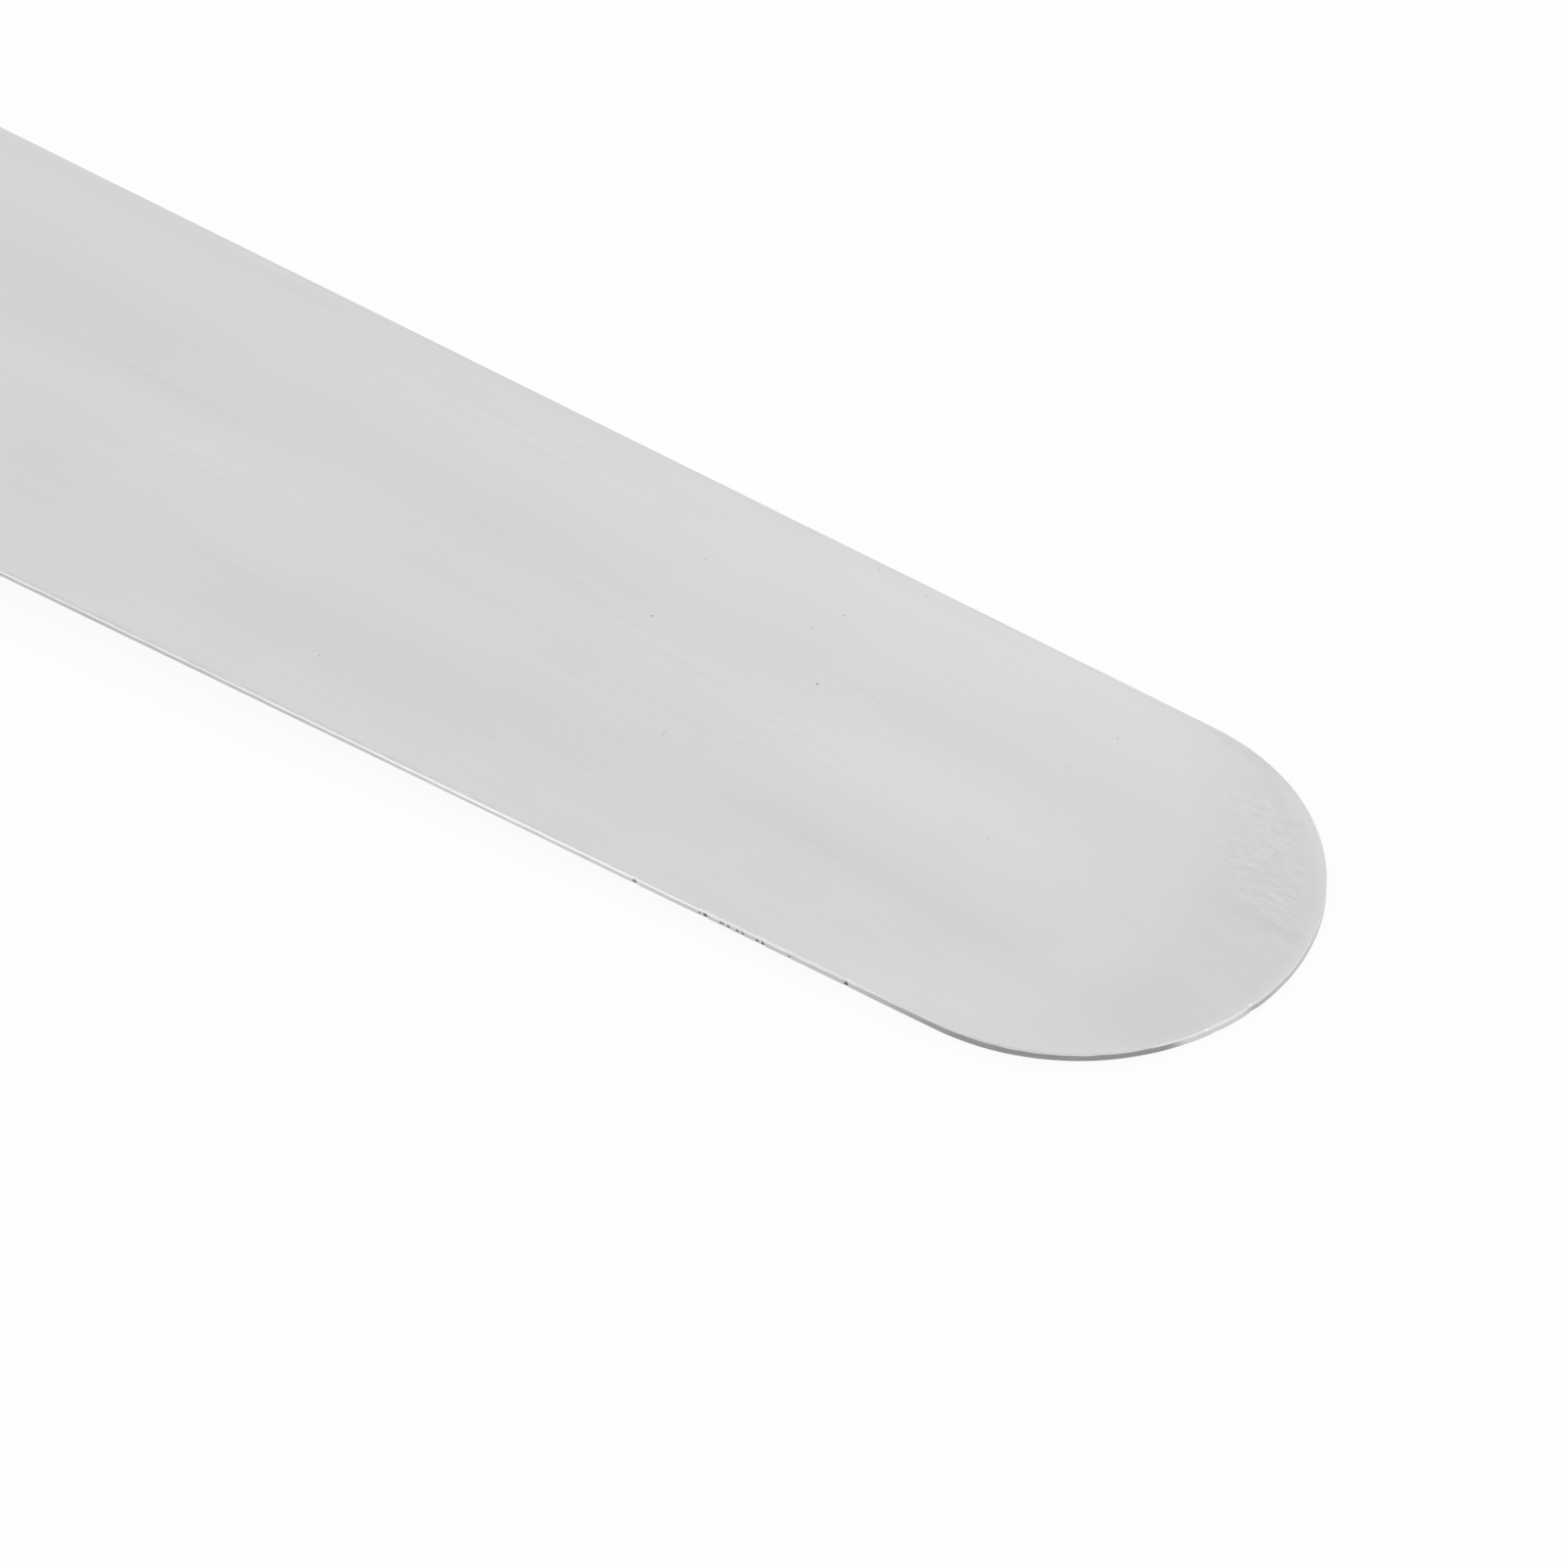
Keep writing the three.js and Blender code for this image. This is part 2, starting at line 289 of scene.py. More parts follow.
def blade_half_thickness(reach, across):
    """Half the sheet's thickness, less what is ground off the nose."""
    from_centre = np.hypot(reach - (BLADE_LENGTH - NOSE_GRIND_BACK), across)
    ground = np.clip((from_centre - NOSE_GRIND_RADIUS) / (NOSE_GRIND_BACK - NOSE_GRIND_RADIUS), 0, 1)
    return SHEET / 2 - NOSE_GRIND_DEPTH * ground


def mesh_piece(name, points, faces, materials, face_materials=None):
    """A mesh object with its faces turned outwards."""
    mesh = bpy.data.meshes.new(name)
    mesh.from_pydata([tuple(point) for point in points], [], faces)
    for material in materials:
        mesh.materials.append(material)
    if face_materials is not None:
        mesh.polygons.foreach_set("material_index", face_materials)
    work = bmesh.new()
    work.from_mesh(mesh)
    bmesh.ops.recalc_face_normals(work, faces=work.faces)
    work.to_mesh(mesh)
    work.free()
    piece = bpy.data.objects.new(name, mesh)
    bpy.context.scene.collection.objects.link(piece)
    return piece


def ring_quads(rings, size):
    """Quads between rings of the same size, each closed on itself."""
    quads = []
    for ring in range(rings - 1):
        near, far = ring * size, (ring + 1) * size
        for point in range(size):
            following = (point + 1) % size
            quads.append((near + point, near + following, far + following, far + point))
    return quads


def ring_faces(rings, size):
    """The quads between rings, with an end face at each end."""
    first, last = range(size), range((rings - 1) * size, rings * size)
    return [*ring_quads(rings, size), tuple(first), tuple(last)]


def cut(piece, cutters):
    """Takes the cutters out of a piece and deletes them."""
    for cutter in cutters:
        modifier = piece.modifiers.new(cutter.name, "BOOLEAN")
        modifier.operation = "DIFFERENCE"
        modifier.solver = "EXACT"
        modifier.object = cutter
    bpy.context.view_layer.update()
    graph = bpy.context.evaluated_depsgraph_get()
    result = bpy.data.meshes.new_from_object(piece.evaluated_get(graph))
    piece.modifiers.clear()
    piece.data = result
    work = bmesh.new()
    work.from_mesh(result)
    bmesh.ops.remove_doubles(work, verts=work.verts, dist=SLIVER)
    work.to_mesh(result)
    work.free()
    for cutter in cutters:
        bpy.data.objects.remove(cutter)


def shade(piece, sharp_degrees):
    piece.data.shade_smooth()
    piece.data.set_sharp_from_angle(angle=math.radians(sharp_degrees))


def turned(name, place, profile, material):
    """A solid turned about an upright axis on the handle.

    The profile has a radius and a height for each ring. A height may be a function of place and across.
    """
    angles = np.linspace(0, 2 * math.pi, TURNED_SIDES, endpoint=False)
    points = []
    for radius, height in profile:
        along = place - radius * np.cos(angles)
        across = radius * np.sin(angles)
        heights = height(along, across) if callable(height) else height + np.zeros_like(angles)
        points.extend(zip(HANDLE_FRONT - along, across, heights))
    return mesh_piece(name, points, ring_faces(len(profile), TURNED_SIDES), [material])


def on_side(piece, side):
    """Sets a piece made about the sheet's middle plane on the upper (1) or the lower (-1) side."""
    turn = Matrix.Rotation(0 if side > 0 else math.pi, 4, "X")
    piece.data.transform(Matrix.Translation((0, 0, MIDDLE_Z)) @ turn)
    return piece


class Grain(NamedTuple):
    """Noise in cells that are longer along the tool than across it, with finer layers in them."""

    along: float
    across: float
    layers: float


class Shader:
    """One material's nodes. An input may be a number or another node's output."""

    def __init__(self, name):
        self.material = bpy.data.materials.new(name)
        self.material.use_nodes = True
        self.tree = self.material.node_tree
        self.surface = self.tree.nodes["Principled BSDF"]
        self.place = self.tree.nodes.new("ShaderNodeTexCoord").outputs["Object"]

    def add(self, kind, inputs, **settings):
        node = self.tree.nodes.new(kind)
        for key, value in settings.items():
            setattr(node, key, value)
        self.fill(node, inputs)
        return node

    def fill(self, node, inputs):
        for key, value in inputs.items():
            if isinstance(value, bpy.types.NodeSocket):
                self.tree.links.new(value, node.inputs[key])
            else:
                node.inputs[key].default_value = value

    def math(self, operation, *values):
        return self.add("ShaderNodeMath", dict(enumerate(values)), operation=operation).outputs[0]

    def vector(self, operation, *values):
        return self.add("ShaderNodeVectorMath", dict(enumerate(values)), operation=operation).outputs

    def distance(self, first, second):
        return self.vector("DISTANCE", first, second)["Value"]

    def length(self, vector):
        return self.vector("LENGTH", vector)["Value"]

    def parts(self, vector):
        return self.add("ShaderNodeSeparateXYZ", {"Vector": vector}).outputs

    def joined(self, x, y, z):
        return self.add("ShaderNodeCombineXYZ", {"X": x, "Y": y, "Z": z}).outputs[0]

    def measured(self, vector, sizes, centre=(0.0, 0.0, 0.0), turn=(0.0, 0.0, 0.0)):
        """The vector from a centre, turned and counted in steps of these sizes."""
        inputs = {"Vector": vector, "Location": centre, "Rotation": turn, "Scale": sizes}
        return self.add("ShaderNodeMapping", inputs, vector_type="TEXTURE").outputs[0]

    def noise(self, vector, layers):
        inputs = {"Vector": vector, "Scale": 1.0, "Detail": layers}
        return self.add("ShaderNodeTexNoise", inputs).outputs["Fac"]

    def grain(self, vector, cells):
        sizes = (cells.along, cells.across, cells.across)
        return self.noise(self.measured(vector, sizes), cells.layers)

    def remap(self, value, start, end, low=0.0, high=1.0):
        """Eases from low to high as the value goes from start to end."""
        inputs = {"Value": value, "From Min": start, "From Max": end, "To Min": low, "To Max": high}
        return self.add("ShaderNodeMapRange", inputs, interpolation_type="SMOOTHSTEP").outputs[0]

    def product(self, first, *others):
        result = first
        for value in others:
            result = self.math("MULTIPLY", result, value)
        return result

    def total(self, start, *terms):
        """start plus each (value, weight) term."""
        result = start
        for value, weight in terms:
            result = self.math("MULTIPLY_ADD", value, weight, result)
        return result

    def swing(self, start, *terms):
        """Like total, for values that swing about a half, so that start is the mean."""
        return self.total(start - sum(weight for _, weight in terms) / 2, *terms)

    def spots(self, vector, spots, core_share):
        """1 in the core of each (centre, radius) spot, fading to 0 at its radius."""
        result = 0.0
        for centre, radius in spots:
            away = self.distance(vector, centre)
            result = self.total(result, (self.remap(away, radius, core_share * radius), 1.0))
        return result

    def blend(self, share, first, second):
        """From the first colour to the second."""
        node = self.add("ShaderNodeMix", {}, data_type="RGBA")
        for index, value in ((0, share), (6, first), (7, second)):
            self.fill(node, {index: value})
        return node.outputs[2]

    def bump(self, height, distance):
        inputs = {"Height": height, "Distance": distance, "Strength": 1.0}
        return self.add("ShaderNodeBump", inputs).outputs[0]


class Mark(NamedTuple):
    """A soft lens-shaped mark on the upper face of the blade."""

    back: float  # of its centre
    across: float
    length: float  # half of it
    width: float  # half of it
    turn: float  # degrees
    tone: float  # what it adds to the steel's tone


# Brushed faces of the sheet. A tone is the share of the light that the steel throws back.
STEEL_TONE = 0.672
STEEL_ROUGHNESS = 0.33
STEEL_RELIEF = 0.0015 * MM
BRUSH_LEAN = 0.018  # how far the brush lines run aside, as a share of X
BRUSH_BEND_X = 80 * MM  # ahead of this they swing further aside
BRUSH_BEND = 0.45  # by this times the square of the way past it
BANDS = Grain(55 * MM, 5 * MM, 1)
BAND_TONE = 0.030
STREAKS = Grain(40 * MM, 1.2 * MM, 2)
STREAK_TONE = 0.030
STREAK_ROUGHNESS = 0.08
CLOUDS = Grain(7 * MM, 5 * MM, 3)
CLOUD_TONE = 0.022
LINES = Grain(12 * MM, 0.28 * MM, 2)
LINE_TONE = 0.068
LINE_ROUGHNESS = 0.08
LINE_PATCHES = Grain(28 * MM, 6 * MM, 1)  # fine lines show in these
LINE_PATCH_RANGE = (0.42, 0.62)
LINE_FADE = (NOSE_END - 30 * MM, NOSE_END - 12 * MM)  # along X
LINE_LEAST = 0.35

# Ground nose. Its ranges are radii, about the arc's centre or the nose's, or distances across.
GROUND_TONE = -0.034
GROUND_CENTRE = (NOSE_END - NOSE_GRIND_BACK, -2 * MM, 0)
GROUND_RAGGED = 4 * MM  # how far the streaks move its start
GROUND_RANGE = (NOSE_GRIND_RADIUS - 0.8 * MM, NOSE_GRIND_RADIUS + 5.4 * MM)
GROUND_ACROSS = mm(-18, 3)
GROUND_LEAST = 0.25  # at the near edge
RIM_TONE = 0.03
RIM_RANGE = (NOSE_RADIUS - 1.1 * MM, NOSE_RADIUS - 0.2 * MM)
RIM_ACROSS = mm(17, 14)
SCRATCHES = Grain(1.2 * MM, 0.18 * MM, 2)
SCRATCH_TONE = 0.24
SCRATCH_LEAN = 0.03
SCRATCH_WAVE = 2 * MM
SCRATCH_RANGE = (NOSE_GRIND_RADIUS + 1.6 * MM, NOSE_GRIND_RADIUS + 3.8 * MM)
SCRATCH_END_RANGE = (NOSE_RADIUS - 2.6 * MM, NOSE_RADIUS - 0.8 * MM)
SCRATCH_END_LEAST = 0.3
SCRATCH_ACROSS = mm(1, 4.5)
SCRATCH_NEAR_LEAST = 0.08
CROWDED_RANGE = (0.36, 0.54)  # of the clouds, from few scratches to many
CROWDED_LEAST = 0.35

# Marks of use on the upper face.
MARKS = (
    Mark(*mm(40, 16.0, 78, 10), 0, 0.042),  # bright far edge
    Mark(*mm(29, 18.5, 28, 4), 0, 0.014),
    Mark(*mm(121, 8.0, 26, 7), -2, -0.018),  # soft streaks
    Mark(*mm(100, -0.5, 30, 3.4), -1, 0.014),
    Mark(*mm(33, 1.0, 24, 7), -4, 0.020),
    Mark(*mm(42, 3.5, 40, 12), -4, 0.021),
    Mark(*mm(64, 6.5, 48, 4.5), -3, -0.009),  # long dark streak beside the middle
    Mark(*mm(108, 3.9, 22, 1.5), -1, -0.014),
    Mark(*mm(80, -11.2, 56, 6), 0, -0.025),  # dark band inside the near edge
    Mark(*mm(29, -8.6, 28, 3.5), -5, -0.019),
    Mark(*mm(109, -8.0, 10, 5), -60, -0.014),  # smudge
    Mark(*mm(21, -17.3, 17, 3.2), 6, 0.016),  # bright near edge
    Mark(*mm(5.5, -8.8, 9, 6), -4, -0.024),  # dark streaks on the ground nose
    Mark(*mm(4.5, 3.8, 7, 1.3), -1, -0.024),
    Mark(*mm(2.2, 3.7, 3, 1.0), 0, -0.012),
    Mark(*mm(15.6, 18.1, 5, 0.6), -9, -0.028),  # dark crescent inside its rim
    Mark(*mm(12.0, 16.2, 4.5, 1.3), -39, -0.020),
    Mark(*mm(7.8, 12.6, 5, 1.5), -42, -0.014),
    Mark(*mm(71, 4.8, 14, 0.25), -6.5, -0.020),  # thin scratches
    Mark(*mm(42, 6.8, 14, 0.25), -7, -0.020),
    Mark(*mm(34, -8.9, 13, 0.25), -5.5, -0.020),
    Mark(*mm(104, 4.0, 16, 0.3), -1, -0.016),
    Mark(*mm(52.7, -5.45, 0.95, 0.14), -81, -0.090),  # short scratch across the blade
)
PITS = (  # dark specks: back, across, and radius
    mm(60.7, 4.5, 0.16),
    mm(46.2, 5.6, 0.18),
    mm(50.0, 10.4, 0.11),
    mm(26.4, -0.7, 0.12),
    mm(25.7, 9.0, 0.09),
    mm(60.8, 11.9, 0.10),
    mm(48.7, 12.9, 0.10),
    mm(24.3, 13.8, 0.11),
    mm(17.1, 6.9, 0.08),
    mm(78.9, -13.5, 0.11),
    mm(49.3, 18.6, 0.10),
    mm(44.8, 18.2, 0.09),
    mm(75.5, 16.6, 0.08),
    mm(63.1, -13.0, 0.08),
)
PIT_CORE = 0.3  # share of its radius that is darkest
PIT_TONE = -0.28
PIT_HEIGHT = -3.0  # beside the height of the brush lines
PAINTED_GLINTS = (  # painted glints on the rim of the nose: back, across, and radius
    mm(1.75, -8.0, 0.22),
    mm(0.46, -3.95, 0.22),
)
GLINT_CORE = 0.3
GLINT_TONE = 0.3


def brush_lines(shader, x, y, z):
    """A place as the brush saw it: straight along the blade, and swung a little aside towards the nose."""
    past_bend = shader.math("MAXIMUM", shader.math("SUBTRACT", x, BRUSH_BEND_X), 0.0)
    swung = shader.total(y, (x, BRUSH_LEAN), (shader.math("POWER", past_bend, 2.0), BRUSH_BEND))
    return shader.joined(x, swung, z)


def use_marks(shader, flat):
    """What the marks add to the tone of the upper face."""
    marked = 0.0
    for mark in MARKS:
        centre = (NOSE_END - mark.back, mark.across, 0)
        turn = (0, 0, math.radians(mark.turn))
        local = shader.measured(flat, (mark.length, mark.width, 1), centre, turn)
        marked = shader.total(marked, (shader.remap(shader.length(local), 1.0, 0.0), mark.tone))
    return marked


def painted_glints(shader):
    """1 on the painted glints and 0 beside them."""
    spots = [((NOSE_END - back, across, blade_high.z), radius) for back, across, radius in PAINTED_GLINTS]
    return shader.spots(shader.place, spots, GLINT_CORE)


def steel_face():
    """Satin steel, brushed along the blade, ground at the nose and marked by use, with a painted highlight
    inside the nose's rim and painted glints on it.
    """
    shader = Shader("steel_face")
    x, y, z = shader.parts(shader.place)
    flat = shader.joined(x, y, 0.0)
    brushed = brush_lines(shader, x, y, z)
    bands = shader.grain(brushed, BANDS)
    streaks = shader.grain(brushed, STREAKS)
    lines = shader.grain(brushed, LINES)
    patches = shader.remap(shader.grain(brushed, LINE_PATCHES), *LINE_PATCH_RANGE)
    clouds = shader.grain(shader.place, CLOUDS)

    # The nose was ground on both faces; the thin bright rim inside its edge is a painted highlight.
    ragged = shader.total(shader.distance(flat, GROUND_CENTRE), (streaks, GROUND_RAGGED))
    ahead = shader.math("GREATER_THAN", x, GROUND_CENTRE[0])
    strength = shader.remap(y, *GROUND_ACROSS, GROUND_LEAST, 1.0)
    ground = shader.product(shader.remap(ragged, *GROUND_RANGE), ahead, strength)
    from_nose = shader.distance(flat, NOSE_CENTRE)
    rim = shader.product(shader.remap(from_nose, *RIM_RANGE), ground, shader.remap(y, *RIM_ACROSS))

    # Short scratches lie on its far half, more of them in places, and fade out before the rim.
    wavy = shader.joined(x, shader.total(y, (x, SCRATCH_LEAN), (clouds, SCRATCH_WAVE)), z)
    scratches = shader.grain(wavy, SCRATCHES)
    begun = shader.remap(ragged, *SCRATCH_RANGE)
    within = shader.remap(from_nose, *SCRATCH_END_RANGE, 1.0, SCRATCH_END_LEAST)
    far_half = shader.remap(y, *SCRATCH_ACROSS, SCRATCH_NEAR_LEAST, 1.0)
    crowded = shader.remap(clouds, *CROWDED_RANGE, CROWDED_LEAST, 1.0)
    scratched = shader.product(begun, ahead, within, far_half, crowded)

    fading = shader.remap(x, *LINE_FADE, 1.0, LINE_LEAST)
    fine = shader.product(shader.math("SUBTRACT", lines, 0.5), patches, fading)
    scored = shader.product(shader.math("SUBTRACT", scratches, 0.5), scratched)
    tone = shader.swing(STEEL_TONE, (bands, BAND_TONE), (streaks, STREAK_TONE), (clouds, CLOUD_TONE))
    tone = shader.total(tone, (fine, LINE_TONE), (scored, SCRATCH_TONE))
    tone = shader.total(tone, (ground, GROUND_TONE), (rim, RIM_TONE))

    # Only the upper face is marked and pitted.
    upper = shader.math("GREATER_THAN", z, MIDDLE_Z)
    marked = shader.product(use_marks(shader, flat), upper)
    pits = [((NOSE_END - back, across, 0), radius) for back, across, radius in PITS]
    pitted = shader.product(shader.spots(flat, pits, PIT_CORE), upper)
    # The glints added here are painted highlights.
    tone = shader.total(tone, (marked, 1.0), (pitted, PIT_TONE), (painted_glints(shader), GLINT_TONE))

    height = shader.total(lines, (scored, 1.0), (pitted, PIT_HEIGHT))
    roughness = shader.swing(STEEL_ROUGHNESS, (streaks, STREAK_ROUGHNESS), (lines, LINE_ROUGHNESS))
    shader.fill(
        shader.surface,
        {
            "Base Color": tone,
            "Metallic": 1.0,
            "Roughness": roughness,
            "Normal": shader.bump(height, STEEL_RELIEF),
        },
    )
    return shader.material


class NoseStretch(NamedTuple):
    """A stretch of the nose's rim, in degrees."""

    way: float  # from the nose's centre out to its middle
    ends: float  # half its angle
    full: float  # half the angle within which it is full


class EdgeStretch(NamedTuple):
    """A stretch of the straight edges, full in its middle."""

    back: float
    half: float


# The dull stretch is painted shade.
PAINTED_SHADE_STRETCH = NoseStretch(-57, 28, 22)
# The rubbed stretch is a painted highlight.
PAINTED_HIGHLIGHT_STRETCH = NoseStretch(-23, 13, 6)
CHIPPED_STRETCH = NoseStretch(-9.5, 5, 2)
# The blunt stretch weakens the painted highlight round the far side of the nose's end; the bright and dim
# lengths paint the rim stronger and weaker along the straight edges.
WEAKER_HIGHLIGHT_STRETCH = NoseStretch(12, 30, 24)
BRIGHT_LENGTH = EdgeStretch(*mm(52, 34))
DIM_LENGTH = EdgeStretch(*mm(112, 62))

# The painted shade's tail along the near edge: where it grows along X, and across.
TAIL_RANGE = (NOSE_END - 28.5 * MM, NOSE_END - 15 * MM)
TAIL_ACROSS = mm(-17, -18.6)

# The rim's height is a share of the sheet, from 0 at the lower face to 1 at the upper.
STRAIGHT_RANGE = (NOSE_END - 60 * MM, NOSE_END - 22 * MM)  # X from the straight edges to the nose
STRAIGHT_LIFT = 0.12  # added to the height on the straight edges, where the band lies lower
TORN_SIZES = mm(1.6, 1.6, 0.10)  # of the torn metal's cells, the last one up the rim
TORN_LAYERS = 3
TORN_RELIEF = 0.006 * MM
UNEVEN_TONE = 0.2  # of the torn cells
SMOOTH_RANGE = (0.76, 0.94)  # height from the torn metal to the smooth band
SMOOTH_UNEVEN = 0.24
SMOOTH_PAINTED_SHADE = -0.06
SMOOTH_BRIGHT = 0.06
GLEAM_TOP_RANGE = (0.94, 0.99)  # height from the band to the line above it
GLEAM_TOP_BRIGHT = -0.03
# The darker line above the band is a painted dark reflection.
LINE_ABOVE_RANGE = (0.955, 0.985)
LINE_ABOVE_TONES = (0.62, 0.66)
SANDED_RANGE = (HANDLE_FRONT, HANDLE_FRONT + NECK_LENGTH)  # X from the tang to the blade

# Tones of the torn metal and of the smooth band, the gleam, with what each stretch adds to them. The
# gleam's tone is partly burnish and partly a painted highlight, and most stretches add painted shade or
# highlights.
TORN_TONE = 0.575
TORN_PAINTED_SHADE = -0.245
TORN_PAINTED_HIGHLIGHT = 0.12
TORN_CHIPPED = -0.065
TORN_BRIGHT = 0.09
GLEAM_TONE = 0.84
GLEAM_STRAIGHT = 0.11
GLEAM_BRIGHT = 0.05
GLEAM_WEAKER_HIGHLIGHT = -0.08
GLEAM_DIM = -0.04
GLEAM_TAIL = -0.10
GLEAM_SANDED = -0.29
NICK_HEIGHT_SHARE = 0.32  # how high on the rim a nick is darkest
NICK_CORE = 0.4
NICK_TONE = -0.5
LEAST_TONE = 0.05
TORN_ROUGHNESS = 0.42
GLEAM_ROUGHNESS = 0.20


def on_stretch(shader, outwards, stretch):
    """1 on a stretch of the nose's rim and 0 off it, from the way outwards."""
    way, ends, full = (math.radians(angle) for angle in stretch)
    along = shader.vector("DOT_PRODUCT", outwards, (math.cos(way), math.sin(way), 0))["Value"]
    return shader.remap(along, math.cos(ends), math.cos(full))


def on_length(shader, x, length):
    """1 in the middle of a stretch of the straight edges and 0 at its ends."""
    away = shader.math("ABSOLUTE", shader.math("SUBTRACT", x, NOSE_END - length.back))
    return shader.remap(away, length.half, 0.0)


def near_edge_point(back, height):
    half = float(blade_half_width(np.array(BLADE_LENGTH - back)))
    return (NOSE_END - back, -half, height)


def steel_edge():
    """The rim of the sheet: torn metal, with a smooth band above it that is partly burnished and partly a
    painted highlight, and a painted dark reflection as a line over the band.

    The rim has painted shade on one side of the nose and a painted highlight near its end, where it is also
    chipped; the painted highlight on the band is weaker round the far side of the nose's end and varies
    along the straight edges, and the rim is sanded along the handle.
    """
    shader = Shader("steel_edge")
    x, y, z = shader.parts(shader.place)
    share = shader.math("DIVIDE", shader.math("SUBTRACT", z, blade_low.z), SHEET)
    cells = shader.noise(shader.measured(shader.place, TORN_SIZES), TORN_LAYERS)
    from_nose = shader.vector("SUBTRACT", shader.joined(x, y, 0.0), NOSE_CENTRE)[0]
    outwards = shader.vector("NORMALIZE", from_nose)[0]

    # The dull stretch and its tail are painted shade.
    tail = shader.product(shader.remap(x, *TAIL_RANGE), shader.remap(y, *TAIL_ACROSS))
    painted_shade = shader.math("MAXIMUM", on_stretch(shader, outwards, PAINTED_SHADE_STRETCH), tail)
    # The rubbed stretch is a painted highlight.
    painted_highlight = on_stretch(shader, outwards, PAINTED_HIGHLIGHT_STRETCH)
    chipped = on_stretch(shader, outwards, CHIPPED_STRETCH)
    # The blunt stretch and the bright and dim lengths make the painted highlight weaker and stronger in
    # places.
    weaker_highlight = on_stretch(shader, outwards, WEAKER_HIGHLIGHT_STRETCH)
    bright = on_length(shader, x, BRIGHT_LENGTH)
    dim = on_length(shader, x, DIM_LENGTH)
    straight = shader.remap(x, *STRAIGHT_RANGE, 1.0, 0.0)
    sanded = shader.remap(x, *SANDED_RANGE, 1.0, 0.0)

    torn = shader.total(TORN_TONE, (painted_shade, TORN_PAINTED_SHADE), (painted_highlight, TORN_PAINTED_HIGHLIGHT))
    torn = shader.total(torn, (chipped, TORN_CHIPPED), (bright, TORN_BRIGHT))
    # The gleam's tone is partly burnished metal and partly a painted highlight, made stronger on the
    # straight edges and weaker in stretches.
    gleam = shader.total(GLEAM_TONE, (straight, GLEAM_STRAIGHT), (bright, GLEAM_BRIGHT))
    gleam = shader.total(gleam, (weaker_highlight, GLEAM_WEAKER_HIGHLIGHT), (dim, GLEAM_DIM))
    gleam = shader.total(gleam, (tail, GLEAM_TAIL), (sanded, GLEAM_SANDED))
    # The line above the band is a painted dark reflection.
    line_above = shader.remap(share, *LINE_ABOVE_RANGE, *LINE_ABOVE_TONES)

    level = shader.total(share, (straight, STRAIGHT_LIFT))
    ragged = shader.total(level, (cells, SMOOTH_UNEVEN), (painted_shade, SMOOTH_PAINTED_SHADE), (bright, SMOOTH_BRIGHT))
    rolled = shader.remap(ragged, *SMOOTH_RANGE)
    gleam_top = shader.total(level, (bright, GLEAM_TOP_BRIGHT))
    smooth = shader.remap(gleam_top, *GLEAM_TOP_RANGE, gleam, line_above)

    nick_height = mix(blade_low.z, blade_high.z, NICK_HEIGHT_SHARE)
    nicks = [(near_edge_point(back, nick_height), radius) for back, radius in NICKS]
    nicked = shader.spots(shader.place, nicks, NICK_CORE)
    uneven = shader.math("SUBTRACT", cells, 0.5)
    tone = shader.total(torn, (rolled, shader.math("SUBTRACT", smooth, torn)))
    # The glints added here are painted highlights.
    tone = shader.total(tone, (uneven, UNEVEN_TONE), (nicked, NICK_TONE), (painted_glints(shader), GLINT_TONE))
    shader.fill(
        shader.surface,
        {
            "Base Color": shader.math("MAXIMUM", tone, LEAST_TONE),
            "Metallic": 1.0,
            "Roughness": shader.remap(rolled, 0.0, 1.0, TORN_ROUGHNESS, GLEAM_ROUGHNESS),
            "Normal": shader.bump(cells, TORN_RELIEF),
        },
    )
    return shader.material


# Oiled hardwood. The pith, about which the rings grew, lies outside the scale.
UPPER_PITH = mm(-120, -22, -30)
LOWER_PITH = mm(-50, 26, -34)
BOARD_LEAN = (1.2, -1.4, 2.2)  # degrees from the handle's own axes
RING_WIDTH = 2.6 * MM
RING_SWAYS = Grain(55 * MM, 11 * MM, 2)
RING_SWAY = 9 * MM
LATE_GROWS = (0.25, 0.9)  # shares of a ring
LATE_STOPS = (1.0, 0.93)
FIBRES = Grain(16 * MM, 0.32 * MM, 4)
PORES = Grain(3.2 * MM, 0.13 * MM, 1)
PORE_RANGE = (0.60, 0.72)
PORE_LATE_SHARE = 0.35
WOOD_PATCHES = Grain(38 * MM, 9 * MM, 2)
WOOD_PALE = (0.330, 0.132, 0.048, 1)
WOOD_DARK = (0.120, 0.040, 0.015, 1)
PORE_COLOUR = (0.045, 0.016, 0.007, 1)
WOOD_DARKNESS = 0.30
FIBRE_DARKNESS = 0.9
PATCH_DARKNESS = 0.5
LATE_DARKNESS = 0.42
WOOD_ROUGHNESS = 0.42
FIBRE_ROUGHNESS = 0.2
PORE_ROUGHNESS = 0.1
WOOD_SPECULAR = 0.4
WOOD_RELIEF = 0.03 * MM
PORE_HEIGHT = -1.6  # beside the height of the fibres


